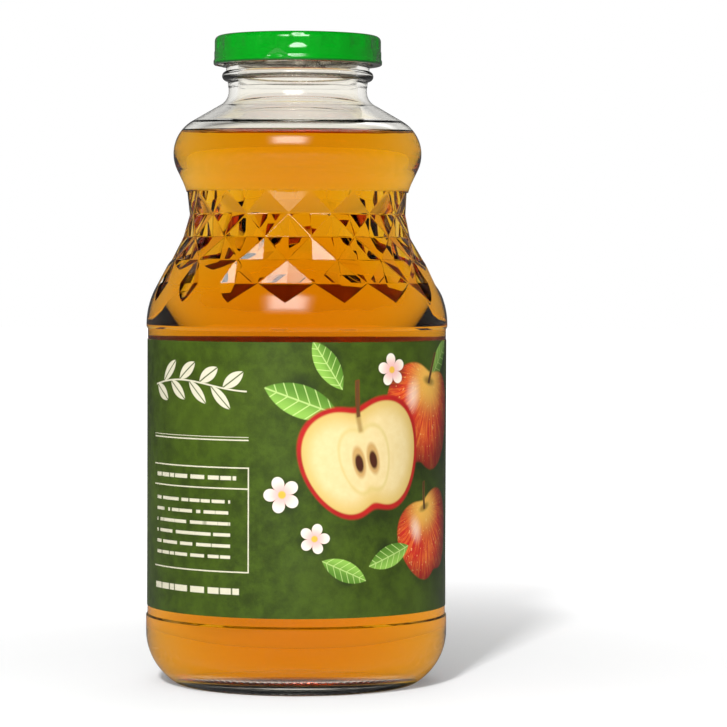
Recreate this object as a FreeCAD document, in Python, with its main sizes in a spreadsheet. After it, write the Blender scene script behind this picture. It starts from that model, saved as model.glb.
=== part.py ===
import FreeCAD, Part

import math
import os
import re

import Sketcher

# A one-quart glass bottle of apple juice: a flared body with a sunk label panel, a waist
# pressed with a band of diamonds, a carrying bead, a metal twist-off cap and a paper label.
#
# Frame: millimetres, +Z up, the origin at the middle of the base, where the bottle stands.
# Azimuths are in degrees about +Z, 0 at the front (-Y), positive towards +X.

V = FreeCAD.Vector
UP = V(0, 0, 1)

doc = FreeCAD.newDocument("JuiceBottle")
sheet = doc.addObject("Spreadsheet::Sheet", "Sizes")

# Driving dimensions: alias, value, meaning.
SIZES = [
    ("wall", 2.9, "glass thickness"),
    ("body_radius", 48.0, "largest radius, at the two rims of the label panel"),
    ("heel_curve", 19.0, "rounding of the heel"),
    ("heel_cut", 2.4, "how much of that rounding the base cuts off"),
    ("ring_width", 4.2, "width of the ring the bottle stands on"),
    ("dome_rise", 3.0, "rise of the hollow under the base"),
    ("floor_height", 5.5, "height of the inside floor, at its edge"),
    ("floor_rise", 1.6, "rise of the inside floor to its middle"),
    ("floor_corner", 10.0, "rounding between the floor and the inside wall"),
    ("foot_rim", 4.9, "straight rim between the heel and the label panel"),
    ("panel_height", 90.4, "height of the label panel"),
    ("panel_depth", 0.45, "how far the panel lies below its rims"),
    ("panel_ramp", 0.9, "height of the slope at each edge of the panel"),
    ("head_rim", 0.4, "straight rim above the label panel"),
    ("flare_curve", 25.0, "rounding above that rim"),
    ("waist_in", 13.4, "how far the waist lies inside the body's radius"),
    ("waist_curve", 20.9, "hollow rounding of the waist"),
    ("waist_rise", 36.6, "from the start of the flare up to the waist"),
    ("bulge_in", 8.5, "how far the shoulder bulge lies inside it"),
    ("bulge_curve", 12.0, "rounding of the shoulder bulge"),
    ("bulge_rise", 17.7, "from the waist up to the bulge"),
    ("neck_radius", 22.0, "outside of the neck"),
    ("neck_curve", 5.0, "hollow rounding where the shoulder meets the neck"),
    ("neck_rise", 19.9, "from the bulge up to the foot of the neck"),
    ("step_out", 0.3, "how far the neck's step stands out"),
    ("step_rise", 1.3, "from the foot of the neck up to that step"),
    ("bead_out", 2.1, "how far the carrying bead stands out from the neck"),
    ("bead_curve", 1.6, "rounding of the bead"),
    ("bead_rise", 4.8, "from the foot of the neck up to the middle of the bead"),
    ("mouth_out", 0.85, "how far the mouth stands out from the neck"),
    ("lip_curve", 1.2, "rounding of the lip"),
    ("cell_count", 16, "diamonds round the bottle"),
    ("lattice_turn", -4.5, "azimuth of one of the lowest points of the pattern"),
    ("lattice_drop", 23.3, "from the waist down to the lowest row of side corners"),
    ("row_pitch", 7.2, "height from one row of corners to the next"),
    ("tip_drop", 6.0, "how far the lowest points hang below the first row"),
    ("pit_depth", 2.0, "depth of a diamond's middle below the round surface"),
    ("ridge_wear", 0.12, "how far the ridges between diamonds lie below that surface"),
    ("ledge_rise", 0.5, "rise of the ledge over the top half diamonds, out to the open"),
    ("fill_rise", 6.3, "from the shoulder bulge up to the juice's surface"),
    ("cap_lift", 3.4, "from the middle of the bead up to the cap"),
    ("cap_height", 9.4, "height of the cap"),
    ("cap_sheet", 0.7, "thickness of the cap's wall"),
    ("cap_curve", 2.0, "rounding of the cap's upper edge"),
    ("skirt_gap", 3.05, "gap between the mouth and the cap's skirt"),
    ("hem_height", 1.5, "height of the rolled edge"),
    ("hem_depth", 1.4, "how far the rolled edge reaches inward"),
    ("hem_step", 0.25, "how far the rolled edge stands out from the skirt"),
    ("sink_gap", 0.6, "gap between the cap's sunk middle and the bore"),
    ("cap_sink", 0.9, "how deep that middle lies"),
    ("button_radius", 8.5, "safety button in the middle of the cap"),
    ("button_rise", 0.45, "how far the button stands up"),
    ("button_slope", 1.2, "width of the slope round the button"),
    ("dimple_count", 16, "pressed dimples round the cap"),
    ("dimple_width", 5.6, "width of a dimple"),
    ("dimple_height", 5.0, "how far a dimple reaches down from the cap's top"),
    ("dimple_depth", 0.3, "depth of a dimple"),
    ("lug_count", 4, "lugs folded in from the rolled edge"),
    ("lug_turn", -14.0, "azimuth of the first lug"),
    ("lug_width", 8.4, "width of a lug"),
    ("lug_reach", 1.5, "how far a lug reaches in past the rolled edge"),
    ("lug_height", 1.1, "thickness of a lug, folded double"),
    ("lug_press", 0.3, "how deep the rolled edge is pressed in at a lug"),
    ("label_foot", 2.5, "panel left bare below the label"),
    ("label_head", 3.3, "panel left bare above the label"),
    ("label_sheet", 0.15, "thickness of the paper"),
    ("label_lap", 16, "angle over which the label's ends overlap at the back"),
]

for row, (alias, number, meaning) in enumerate(SIZES, start=1):
    sheet.set(f"A{row}", meaning)
    sheet.set(f"B{row}", str(number))
    sheet.setAlias(f"B{row}", alias)
doc.recompute()


def bound(formula):
    """A formula over the sheet's aliases, written out for setExpression."""
    return re.sub(r"\b[a-z_]+\b(?!\()", lambda word: f"Sizes.{word.group()}", formula)


def value(formula):
    """What such a formula comes to."""
    return float(sheet.evalExpression(bound(formula)))


# Heights above the table, each stacked on the one before, and radii that pieces share.
HEEL_TOP = "(heel_curve - heel_cut)"
PANEL_START = f"({HEEL_TOP} + foot_rim + panel_ramp)"
PANEL_END = f"({PANEL_START} + panel_height)"
FLARE_HEIGHT = f"({PANEL_END} + panel_ramp + head_rim)"
WAIST_HEIGHT = f"({FLARE_HEIGHT} + waist_rise)"
BULGE_HEIGHT = f"({WAIST_HEIGHT} + bulge_rise)"
NECK_HEIGHT = f"({BULGE_HEIGHT} + neck_rise)"
BEAD_HEIGHT = f"({NECK_HEIGHT} + bead_rise)"
CAP_BOTTOM = f"({BEAD_HEIGHT} + cap_lift)"
CAP_TOP = f"({CAP_BOTTOM} + cap_height)"
RIM_TOP = f"({CAP_TOP} - cap_sheet)"
WALL_RADIUS = "(body_radius - wall)"
PANEL_RADIUS = "(body_radius - panel_depth)"
BORE_RADIUS = "(neck_radius - wall)"
MOUTH_RADIUS = "(neck_radius + mouth_out)"
SKIRT_RADIUS = f"({MOUTH_RADIUS} + skirt_gap + cap_sheet)"
CAP_RADIUS = f"({SKIRT_RADIUS} + hem_step)"


# --- Sketches ------------------------------------------------------------------------------

START, END, CENTRE = 1, 2, 3
SKETCH_ORIGIN = (-1, 1)


def new_body(name, label):
    body = doc.addObject("PartDesign::Body", name)
    body.Label = label
    return body


def new_sketch(body, name, role):
    sketch = body.newObject("Sketcher::SketchObject", name)
    plane = next(item for item in body.Origin.OriginFeatures if item.Role == role)
    sketch.AttachmentSupport = [(plane, "")]
    sketch.MapMode = "FlatFace"
    return sketch


def at(point):
    """A point's numbers; its coordinates may be numbers or formulas."""
    return tuple(value(part) if isinstance(part, str) else part for part in point[:2])


class Outline:
    """A closed chain of lines and arcs in a sketch, bound to the sheet as it is drawn.

    A corner written as formulas is bound to them. One given as numbers only has to touch
    its neighbour, smoothly where the joint is listed in close().
    """

    def __init__(self, sketch):
        self.sketch = sketch
        self.chain = []

    def bind(self, kind, *where, number, formula):
        index = self.sketch.addConstraint(Sketcher.Constraint(kind, *where, number))
        self.sketch.setExpression(f"Constraints[{index}]", bound(formula))

    def place(self, piece, end, point):
        """Bind a corner to the formulas among its coordinates."""
        for kind, part in zip(("DistanceX", "DistanceY"), point):
            if isinstance(part, str):
                self.bind(kind, *SKETCH_ORIGIN, piece, end, number=value(part), formula=part)

    def lines(self, *points):
        """Straight lines from corner to corner; each line's first corner gets bound."""
        pieces = []
        for start, end in zip(points, points[1:]):
            segment = Part.LineSegment(V(*at(start), 0), V(*at(end), 0))
            piece = self.sketch.addGeometry(segment, False)
            self.chain.append((piece, START, END))
            self.place(piece, START, start)
            pieces.append(piece)
        return pieces

    def arc(self, centre, radius, start, end):
        """An arc from start to end, the short way round its centre; only its radius is bound."""
        middle = at(centre)
        first, last = (math.atan2(z - middle[1], r - middle[0]) for r, z in (at(start), at(end)))
        turn = (last - first) % (2 * math.pi)
        forward = turn < math.pi
        if not forward:
            first, turn = last, 2 * math.pi - turn
        circle = Part.Circle(V(*middle, 0), UP, value(radius))
        piece = self.sketch.addGeometry(Part.ArcOfCircle(circle, first, first + turn), False)
        ends = (START, END) if forward else (END, START)
        self.chain.append((piece, *ends))
        self.place(piece, ends[0], start)
        self.bind("Radius", piece, number=value(radius), formula=radius)
        return piece

    def centred_arc(self, centre, radius, start, end):
        """An arc whose centre is bound too, so that its ends are free to slide round it."""
        piece = self.arc(centre, radius, at(start), at(end))
        self.place(piece, CENTRE, centre)
        return piece

    def close(self, smooth=(), upright=(), level=()):
        """Join each piece to the next; the joints after the smooth pieces are tangent."""
        pieces = self.chain + self.chain[:1]
        for (before, _, leave), (after, enter, _) in zip(pieces, pieces[1:]):
            kind = "Tangent" if before in smooth else "Coincident"
            self.sketch.addConstraint(Sketcher.Constraint(kind, before, leave, after, enter))
        for piece in upright:
            self.sketch.addConstraint(Sketcher.Constraint("Vertical", piece))
        for piece in level:
            self.sketch.addConstraint(Sketcher.Constraint("Horizontal", piece))


def revolve(body, sketch, name, angle="360", middle=False):
    """Turn a sketch about the bottle's axis."""
    feature = body.newObject("PartDesign::Revolution", name)
    feature.Profile = sketch
    feature.ReferenceAxis = (sketch, ["V_Axis"])
    feature.Midplane = middle
    feature.setExpression("Angle", bound(angle))
    return feature


# --- The wall line -------------------------------------------------------------------------
#
# From the label panel to the neck the wall is four arcs joined by straight slopes that touch
# both their arcs. The inside follows the same centres, one wall thickness further in.

WAVES = [
    # widest or narrowest radius, rounding, height, +1 where it bulges and -1 where hollow
    ("body_radius", "flare_curve", FLARE_HEIGHT, 1),
    ("(body_radius - waist_in)", "waist_curve", WAIST_HEIGHT, -1),
    ("(body_radius - bulge_in)", "bulge_curve", BULGE_HEIGHT, 1),
    ("neck_radius", "neck_curve", NECK_HEIGHT, -1),
]


def wave_arcs(inset):
    """Centre, radius and side of each arc of the wall line, moved in by a formula."""
    arcs = []
    for extreme, curve, height, side in WAVES:
        sign = "-" if side > 0 else "+"
        arcs.append(((f"{extreme} {sign} {curve}", height), f"{curve} {sign} {inset}", side))
    return arcs


def slope_between(lower, upper):
    """Ends of the straight slope that touches two arcs of the wall line."""
    (lower_r, lower_z), lower_bend = at(lower[0]), lower[2] * value(lower[1])
    (upper_r, upper_z), upper_bend = at(upper[0]), upper[2] * value(upper[1])
    gap = math.hypot(upper_r - lower_r, upper_z - lower_z)
    towards = math.atan2(upper_z - lower_z, upper_r - lower_r)
    outward = towards - math.acos((lower_bend - upper_bend) / gap)
    across, upward = math.cos(outward), math.sin(outward)
    start = (lower_r + lower_bend * across, lower_z + lower_bend * upward)
    end = (upper_r + upper_bend * across, upper_z + upper_bend * upward)
    return start, end


def draw_waves(outline, foot, inset):
    """Draw the wall line up from foot; return its pieces and the point where the neck starts."""
    arcs = wave_arcs(inset)
    pieces = []
    start = foot
    for arc, following in zip(arcs, arcs[1:]):
        slope = slope_between(arc, following)
        pieces.append(outline.centred_arc(arc[0], arc[1], start, slope[0]))
        pieces += outline.lines(*slope)
        start = slope[1]
    centre, radius, side = arcs[-1]
    neck_foot = (at(centre)[0] + side * value(radius), at(centre)[1])
    pieces.append(outline.centred_arc(centre, radius, start, neck_foot))
    return pieces, neck_foot


def outside_radius(height):
    """Radius of the round outer surface at a height between the panel and the neck."""
    arcs = wave_arcs("0")
    slopes = [slope_between(*pair) for pair in zip(arcs, arcs[1:])]
    for start, end in slopes:
        if start[1] <= height <= end[1]:
            share = (height - start[1]) / (end[1] - start[1])
            return start[0] + share * (end[0] - start[0])
    tops = [start[1] for start, end in slopes] + [value(NECK_HEIGHT)]
    centre, radius, side = next(arc for arc, top in zip(arcs, tops) if height <= top)
    reach = math.sqrt(value(radius) ** 2 - (height - at(centre)[1]) ** 2)
    return at(centre)[0] + side * reach


# --- The bottle, round outside -------------------------------------------------------------

outside = new_body("BottleOutside", "bottle_outside")
outside_line = new_sketch(outside, "OutsideLine", "XZ_Plane")
outline = Outline(outside_line)

# The base: a shallow dome within the ring the bottle stands on, then the heel.
FOOT_RADIUS = f"(body_radius - heel_curve + sqrt(heel_curve^2 - {HEEL_TOP}^2))"
DOME_EDGE = f"({FOOT_RADIUS} - ring_width)"
DOME_CURVE = f"({DOME_EDGE}^2 / dome_rise + dome_rise) / 2"
HEEL_CENTRE = ("body_radius - heel_curve", HEEL_TOP)
dome_top = ("0", "dome_rise")
ring_edge = (DOME_EDGE, "0")
heel_foot = (value(FOOT_RADIUS), 0.0)
heel_top = at(("body_radius", HEEL_TOP))
outline.arc((0.0, value(f"dome_rise - {DOME_CURVE}")), DOME_CURVE, dome_top, ring_edge)
ring = outline.lines(ring_edge, heel_foot)
heel = outline.centred_arc(HEEL_CENTRE, "heel_curve", heel_foot, heel_top)

# The label panel, sunk between two rims, and the wall line above it.
flare_foot = at(("body_radius", FLARE_HEIGHT))
panel = outline.lines(
    heel_top,
    ("body_radius", f"{PANEL_START} - panel_ramp"),
    (PANEL_RADIUS, PANEL_START),
    (PANEL_RADIUS, PANEL_END),
    ("body_radius", f"{PANEL_END} + panel_ramp"),
    flare_foot)
waves, neck_foot = draw_waves(outline, flare_foot, "0")

# The neck with its step, the carrying bead, and the mouth with its lip.
BEAD_CENTRE = ("neck_radius + bead_out - bead_curve", BEAD_HEIGHT)
STEP = ("neck_radius + step_out", f"{NECK_HEIGHT} + step_rise")
LIP_CENTRE = (f"{MOUTH_RADIUS} - lip_curve", f"{RIM_TOP} - lip_curve")


def bead_crossing(radius, side):
    """Where an upright wall meets the bead, below (-1) or above (+1) its middle."""
    rise = value(f"sqrt(bead_curve^2 - ({radius} - ({BEAD_CENTRE[0]}))^2)")
    return (value(radius), value(BEAD_HEIGHT) + side * rise)


bead_foot = bead_crossing(STEP[0], -1)
bead_head = bead_crossing(MOUTH_RADIUS, 1)
lip_foot = at((MOUTH_RADIUS, LIP_CENTRE[1]))
lip_head = at((LIP_CENTRE[0], RIM_TOP))
neck = outline.lines(neck_foot, ("neck_radius", STEP[1]), STEP, bead_foot)
outline.centred_arc(BEAD_CENTRE, "bead_curve", bead_foot, bead_head)
mouth = outline.lines(bead_head, lip_foot)
lip = outline.centred_arc(LIP_CENTRE, "lip_curve", lip_foot, lip_head)
outline.lines(lip_head, ("0", RIM_TOP), dome_top)
outline.close(smooth=[heel, panel[-1], *waves, *mouth, lip],
              upright=[neck[-1], *mouth], level=ring)
revolve(outside, outside_line, "OutsideTurned")


# --- The bottle, round inside --------------------------------------------------------------

inside = new_body("BottleInside", "bottle_inside")
inside_line = new_sketch(inside, "InsideLine", "XZ_Plane")
outline = Outline(inside_line)

# The floor is a shallow dome over the hollow of the base, rounded into the wall.
FLOOR_EDGE = f"({WALL_RADIUS} - floor_corner)"
FLOOR_CURVE = f"({FLOOR_EDGE}^2 / floor_rise + floor_rise) / 2"
floor_top = ("0", "floor_height + floor_rise")
floor_edge = (FLOOR_EDGE, "floor_height")
floor_middle = (0.0, value(f"floor_height + floor_rise - {FLOOR_CURVE}"))
wall_foot = at((WALL_RADIUS, "floor_height + floor_corner"))
wall_head = at((WALL_RADIUS, FLARE_HEIGHT))
outline.arc(floor_middle, FLOOR_CURVE, floor_top, floor_edge)
corner = outline.arc(at((FLOOR_EDGE, "floor_height + floor_corner")), "floor_corner",
                     at(floor_edge), wall_foot)
outline.place(corner, CENTRE, (FLOOR_EDGE, None))
wall = outline.lines(wall_foot, wall_head)
waves, bore_foot = draw_waves(outline, wall_head, "wall")
bore = outline.lines(bore_foot, (BORE_RADIUS, RIM_TOP), ("0", RIM_TOP), floor_top)
outline.close(smooth=[corner, *wall, *waves])
revolve(inside, inside_line, "InsideTurned")


# --- The pressed diamonds ------------------------------------------------------------------
#
# Corners lie in rows round the waist, each row turned half a cell from the one below. The
# four corners about a cell's middle are joined by straight ridges, and the middle is a pit,
# so each diamond is four flat triangles. The top row has only its lower halves, under a
# narrow ledge, and the lowest points hang into the plain flare as a zigzag.

FULL_ROWS = 4
TIP_ROW = -1
CELLS_ROUND = int(value("cell_count"))


def on_bottle(radius, azimuth, height):
    """A point at an azimuth in degrees, 0 at the front."""
    angle = math.radians(azimuth)
    return V(radius * math.sin(angle), -radius * math.cos(angle), height)


def row_height(row):
    rise = f"{row} * row_pitch" if row > TIP_ROW else "-tip_drop"
    return value(f"{WAIST_HEIGHT} - lattice_drop + {rise}")


def lattice_azimuth(row, place):
    """Azimuth of a corner; a half place is the middle of a cell."""
    half_turn = 0.0 if row % 2 else 0.5
    return value("lattice_turn") + (place + half_turn) * 360.0 / CELLS_ROUND


def lattice_point(row, place, depth):
    """A point of the pattern, at a depth below the round surface."""
    height = row_height(row)
    return on_bottle(outside_radius(height) - value(depth), lattice_azimuth(row, place), height)


def triangle(*points):
    return Part.Face(Part.makePolygon([*points, points[0]]))


def diamond_ring():
    """The glass that the pattern takes away: a ring, faceted inside and plain outside."""
    corners = {(row, place): lattice_point(row, place, "ridge_wear")
               for row in range(TIP_ROW, FULL_ROWS + 1) for place in range(CELLS_ROUND)}
    pits = {(row, place): lattice_point(row, place + 0.5, "pit_depth")
            for row in range(FULL_ROWS + 1) for place in range(CELLS_ROUND)}
    faces = []
    low_edge, high_edge = [], []
    for (row, place), pit in pits.items():
        left = corners[row, place]
        right = corners[row, (place + 1) % CELLS_ROUND]
        middle = (place + (0 if row % 2 else 1)) % CELLS_ROUND
        below = corners[row - 1, middle]
        faces += [triangle(below, left, pit), triangle(below, pit, right)]
        if row < FULL_ROWS:
            above = corners[row + 1, middle]
            faces += [triangle(left, above, pit), triangle(above, right, pit)]
        if row == 0:
            low_edge += [left, below]
        if row == FULL_ROWS:
            high_edge += [left, pit]

    clear = value("body_radius + wall")
    low_clear = [move_out(point, clear, 0.0) for point in low_edge]
    high_clear = [move_out(point, clear, value("ledge_rise")) for point in high_edge]
    for lower, upper in ((low_edge, low_clear), (high_edge, high_clear), (low_clear, high_clear)):
        for index in range(len(lower)):
            following = (index + 1) % len(lower)
            faces.append(triangle(lower[index], lower[following], upper[index]))
            faces.append(triangle(lower[following], upper[following], upper[index]))
    return Part.makeSolid(Part.makeShell(faces))


def move_out(point, radius, rise):
    """The same azimuth at another radius, a little higher."""
    scale = radius / math.hypot(point.x, point.y)
    return V(point.x * scale, point.y * scale, point.z + rise)


diamonds = doc.addObject("Part::Feature", "DiamondRing")
diamonds.Label = "diamond_ring"
diamonds.Shape = diamond_ring()

hollow_bottle = doc.addObject("Part::Cut", "HollowBottle")
hollow_bottle.Label = "hollow_bottle"
hollow_bottle.Base = outside
hollow_bottle.Tool = inside

glass = doc.addObject("Part::Cut", "Glass")
glass.Label = "glass_bottle"
glass.Base = hollow_bottle
glass.Tool = diamonds


# --- The juice -----------------------------------------------------------------------------

fill_zone = doc.addObject("Part::Cylinder", "FillZone")
fill_zone.Label = "fill_zone"
fill_zone.setExpression("Radius", bound("body_radius"))
fill_zone.setExpression("Height", bound(f"{BULGE_HEIGHT} + fill_rise"))

juice = doc.addObject("Part::Common", "Juice")
juice.Label = "apple_juice"
juice.Base = inside
juice.Tool = fill_zone


# --- The cap -------------------------------------------------------------------------------
#
# One pressing of sheet metal: a channel over the lip, a sunk middle with a safety button,
# and a skirt that ends in a rolled edge. The channel's underside seats on the lip.

cap = new_body("Cap", "cap")
cap_line = new_sketch(cap, "CapLine", "XZ_Plane")
outline = Outline(cap_line)

SINK_RADIUS = f"{BORE_RADIUS} - sink_gap"
SINK_TOP = f"{CAP_TOP} - cap_sink"
BUTTON_TOP = f"{SINK_TOP} + button_rise"
BUTTON_FLAT = "button_radius - button_slope"
EDGE_CENTRE = (f"{SKIRT_RADIUS} - cap_curve", f"{CAP_TOP} - cap_curve")
HEM_TOP = f"{CAP_BOTTOM} + hem_height"
HEM_CURVE = "hem_depth / 2"
HEM_CENTRE = (f"{CAP_RADIUS} - {HEM_CURVE}", f"{CAP_BOTTOM} + {HEM_CURVE}")

edge_head = (EDGE_CENTRE[0], CAP_TOP)
edge_foot = (SKIRT_RADIUS, EDGE_CENTRE[1])
hem_outside = (CAP_RADIUS, HEM_CENTRE[1])
hem_bottom = (HEM_CENTRE[0], CAP_BOTTOM)
hem_inside = (f"{CAP_RADIUS} - hem_depth", HEM_CENTRE[1])
inner_foot = (f"{SKIRT_RADIUS} - cap_sheet", EDGE_CENTRE[1])
inner_head = (EDGE_CENTRE[0], RIM_TOP)
outline.lines(
    ("0", BUTTON_TOP),
    (BUTTON_FLAT, BUTTON_TOP),
    ("button_radius", SINK_TOP),
    (f"{SINK_RADIUS} - cap_sheet", SINK_TOP),
    (f"{SINK_RADIUS} - cap_sheet", CAP_TOP),
    edge_head)
outline.arc(EDGE_CENTRE, "cap_curve", edge_head, edge_foot)
outline.lines(edge_foot, (SKIRT_RADIUS, f"{HEM_TOP} + hem_step"), (CAP_RADIUS, HEM_TOP), hem_outside)
outline.arc(HEM_CENTRE, HEM_CURVE, hem_outside, hem_bottom)
outline.arc(HEM_CENTRE, HEM_CURVE, hem_bottom, hem_inside)
outline.lines(
    hem_inside,
    (f"{CAP_RADIUS} - hem_depth", HEM_TOP),
    (f"{SKIRT_RADIUS} - cap_sheet", f"{HEM_TOP} + hem_step"),
    inner_foot)
outline.arc(EDGE_CENTRE, "cap_curve - cap_sheet", inner_foot, inner_head)
outline.lines(
    inner_head,
    (SINK_RADIUS, RIM_TOP),
    (SINK_RADIUS, f"{SINK_TOP} - cap_sheet"),
    ("button_radius", f"{SINK_TOP} - cap_sheet"),
    (BUTTON_FLAT, f"{BUTTON_TOP} - cap_sheet"),
    ("0", f"{BUTTON_TOP} - cap_sheet"),
    ("0", BUTTON_TOP))
outline.close()
revolve(cap, cap_line, "CapTurned")


def front_block(name, width, inner, outer, height, turn="0"):
    """A rectangle at the front of the cap, seen from above, at a height and an azimuth."""
    block = new_sketch(cap, name, "XY_Plane")
    block.AttachmentOffset = FreeCAD.Placement(V(0, 0, value(height)), FreeCAD.Rotation(UP, value(turn)))
    block.setExpression("AttachmentOffset.Base.z", bound(height))
    block.setExpression("AttachmentOffset.Rotation.Angle", bound(turn))
    left, right = f"-({width}) / 2", f"({width}) / 2"
    corners = [(left, f"-({outer})"), (right, f"-({outer})"), (right, f"-({inner})"),
               (left, f"-({inner})"), (left, f"-({outer})")]
    rectangle = Outline(block)
    rectangle.lines(*corners)
    rectangle.close()
    return block


def round_the_cap(kind, block, height, count, name):
    """Pocket or pad a block upwards and repeat it round the cap; return the last feature."""
    feature = cap.newObject(kind, name)
    feature.Profile = block
    feature.Reversed = kind == "PartDesign::Pocket"
    feature.setExpression("Length", bound(height))
    pattern = cap.newObject("PartDesign::PolarPattern", f"{name}Pattern")
    pattern.Originals = [feature]
    pattern.Axis = (next(item for item in cap.Origin.OriginFeatures if item.Role == "Z_Axis"), [""])
    pattern.Angle = 360
    pattern.setExpression("Occurrences", bound(count))
    cap.Tip = pattern
    return pattern


OPEN_AIR = f"{CAP_RADIUS} + wall"
dimple = front_block("DimpleLine", "dimple_width", f"{SKIRT_RADIUS} - dimple_depth", OPEN_AIR,
                     f"{CAP_TOP} - dimple_height")
round_the_cap("PartDesign::Pocket", dimple, "dimple_height", "dimple_count", "Dimple")
press = front_block("PressLine", "lug_width", f"{CAP_RADIUS} - lug_press", OPEN_AIR,
                    CAP_BOTTOM, "lug_turn")
round_the_cap("PartDesign::Pocket", press, "hem_height + hem_step", "lug_count", "Press")
lug = front_block("LugLine", "lug_width", f"{CAP_RADIUS} - hem_depth - lug_reach",
                  f"{CAP_RADIUS} - {HEM_CURVE}", CAP_BOTTOM, "lug_turn")
round_the_cap("PartDesign::Pad", lug, "lug_height", "lug_count", "Lug")


# --- The label -----------------------------------------------------------------------------
#
# Paper wrapped once round the panel; the last few millimetres lie over the start, at the back.

label = new_body("Label", "label")


def paper_band(name, role, inner):
    """The label's section, from one paper thickness to the next."""
    band = new_sketch(label, name, role)
    outer = f"{inner} + label_sheet"
    low = f"{PANEL_START} + label_foot"
    high = f"{PANEL_END} - label_head"
    outline = Outline(band)
    outline.lines((inner, low), (outer, low), (outer, high), (inner, high), (inner, low))
    outline.close()
    return band


revolve(label, paper_band("WrapLine", "XZ_Plane", PANEL_RADIUS), "Wrap")
lap_line = paper_band("LapLine", "YZ_Plane", f"{PANEL_RADIUS} + label_sheet")
revolve(label, lap_line, "Lap", angle="label_lap", middle=True)

doc.recompute()


# --- Check and write -----------------------------------------------------------------------

for item in doc.Objects:
    if "Invalid" in item.State or "Error" in item.State:
        raise RuntimeError(f"{item.Label} failed: {item.State}")

os.makedirs("parts", exist_ok=True)
for item in (glass, juice, cap, label):
    shape = item.Shape
    if shape.isNull() or not shape.isValid() or len(shape.Solids) != 1:
        raise RuntimeError(f"{item.Label} is not one sound solid")
    shape.exportStep(f"parts/{item.Label}.step")
    print(f"{item.Label}: {shape.Volume / 1000:.1f} ml")
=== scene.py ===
# %% [markdown]
# # A bottle of apple juice
# A round family bottle of clear pressed glass, nearly full of apple juice, with a green
# metal twist cap and a wrap-round paper label. The measured model is loaded first. Its
# solids are plain, so each one is modelled again here with finer edges, at the same size
# and in the same place, and given its finish. All lengths are in metres, +Z is up and the
# bottle stands on the floor at the origin.

# %% Load the measured model
import math
import bpy
import bmesh
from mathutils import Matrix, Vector


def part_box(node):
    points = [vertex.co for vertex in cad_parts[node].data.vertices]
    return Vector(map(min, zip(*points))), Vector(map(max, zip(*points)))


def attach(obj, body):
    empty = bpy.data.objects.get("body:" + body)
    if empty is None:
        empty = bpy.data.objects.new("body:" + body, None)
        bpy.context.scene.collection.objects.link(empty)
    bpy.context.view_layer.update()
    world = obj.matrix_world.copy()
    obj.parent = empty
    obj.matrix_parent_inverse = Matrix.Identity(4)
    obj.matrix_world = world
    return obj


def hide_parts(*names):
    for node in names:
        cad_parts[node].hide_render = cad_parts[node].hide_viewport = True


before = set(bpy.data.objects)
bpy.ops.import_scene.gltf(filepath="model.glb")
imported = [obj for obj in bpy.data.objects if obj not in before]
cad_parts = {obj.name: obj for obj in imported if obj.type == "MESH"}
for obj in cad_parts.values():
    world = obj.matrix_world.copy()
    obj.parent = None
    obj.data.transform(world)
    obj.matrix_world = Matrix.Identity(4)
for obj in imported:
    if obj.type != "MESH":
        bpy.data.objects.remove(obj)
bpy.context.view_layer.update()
print("measured solids:", sorted(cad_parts))

# %% [markdown]
# ## Sizes
# The large sizes are read from the measured solids, so the pieces always fit them. The
# small ones, such as a bend or the depth of a pressed diamond, are given names and written
# in millimetres, the bends here and the rest where they are first needed. A radius is
# measured from the upright axis of the bottle.

# %% Sizes from the measured solids
MM = 0.001
glass_low, glass_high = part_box("glass_bottle")
juice_low, juice_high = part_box("apple_juice")
cap_low, cap_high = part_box("cap")
label_low, label_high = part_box("label")

body_radius = glass_high.x
rim_top = glass_high.z
fill_level = juice_high.z
cap_radius = cap_high.x
wall = 2.9 * MM
print("body radius %.1f mm, rim %.1f mm" % (body_radius / MM, rim_top / MM))

# %% Sizes of the bottle's bends, from the foot up
heel_curve = 19.0 * MM
heel_top = heel_curve - 2.4 * MM
foot_radius = body_radius - heel_curve + math.sqrt(heel_curve ** 2 - heel_top ** 2)
dome_edge = foot_radius - 4.2 * MM
dome_rise = 3.0 * MM
panel_foot = heel_top + 5.8 * MM
panel_head = panel_foot + 90.4 * MM
panel_depth = 0.45 * MM
panel_ramp = 0.9 * MM
flare_height = panel_head + 1.3 * MM
waist_height = flare_height + 36.6 * MM
bulge_height = waist_height + 17.7 * MM
neck_height = bulge_height + 19.9 * MM
neck_radius = 22.0 * MM
step_height = neck_height + 1.3 * MM
step_radius = neck_radius + 0.3 * MM
bead_height = step_height + 3.5 * MM
bead_curve = 1.6 * MM
mouth_radius = neck_radius + 0.85 * MM
lip_curve = 1.2 * MM
bore_radius = neck_radius - wall
print("waist at %.1f mm, neck at %.1f mm" % (waist_height / MM, neck_height / MM))

# %% [markdown]
# ## Outlines
# Everything on this bottle but the diamonds is round, as it comes from a turned mould. So
# each piece starts as half of its outline, drawn point by point from a single vertex by
# extruding it, and is then spun about the upright axis. The bends are arcs of circles. A
# point of an outline is written as its radius and its height.

# %% Helpers for outlines
def bend(centre, radius, start, end, side=1, step=4.0):
    """Points of an arc between two angles, in degrees; side -1 is a hollow bend."""
    count = max(2, math.ceil(abs(end - start) / step))
    points = []
    for index in range(count + 1):
        angle = math.radians(start + (end - start) * index / count)
        out = centre[0] + side * radius * math.cos(angle)
        up = centre[1] + side * radius * math.sin(angle)
        points.append((out, up))
    return points


def shallow_dome(edge, height, rise, count=8):
    """Points of a flat dome, from the axis out to its edge."""
    radius = (edge ** 2 / rise + rise) / 2
    sweep = math.degrees(math.asin(edge / radius))
    centre = (0.0, height + rise - radius)
    return bend(centre, radius, 90.0, 90.0 - sweep, step=sweep / count)


def clear_selection():
    """Leaves edit mode and selects nothing."""
    if bpy.context.mode != "OBJECT":
        bpy.ops.object.mode_set(mode="OBJECT")
    bpy.ops.object.select_all(action="DESELECT")


WELD = 0.005 * MM


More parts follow.
